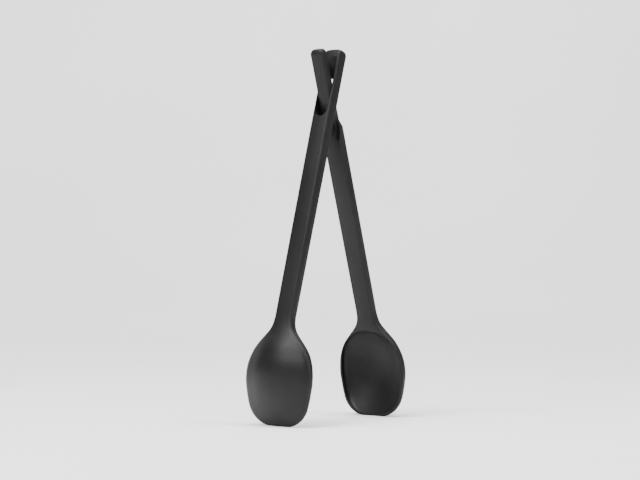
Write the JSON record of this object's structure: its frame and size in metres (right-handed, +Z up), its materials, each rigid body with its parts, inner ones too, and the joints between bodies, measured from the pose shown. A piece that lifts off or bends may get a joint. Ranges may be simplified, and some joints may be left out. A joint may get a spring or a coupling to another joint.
{
  "type": "salad tongs",
  "caption": "Pair of moulded plastic serving spoons crossed like scissors: one arm's narrow neck turns in a long slot in the other arm's handle, spoons hollow inwards.",
  "frame": {"origin": "on the floor the spoon tips stand on, straight under the pivot, midway between the two tips", "axes": "+Z up to the handle heads, +X towards the tongue arm's spoon, Y across the arms' width along the pivot axis"},
  "size_m": [0.1344, 0.0628, 0.2819],
  "materials": {
    "arm_plastic": "matte"
  },
  "bodies": {
    "slotted_body": {"slotted_arm": "arm_plastic"},
    "tongue_body": {"tongue_arm": "arm_plastic"}
  },
  "joints": [
    {"name": "tongue_arm_pivot", "type": "hinge", "parent": "slotted_body", "child": "tongue_body", "pos_m": [0, 0, 0.2436], "axis": [0, 1, 0], "range_deg": [0, 16]}
  ]
}
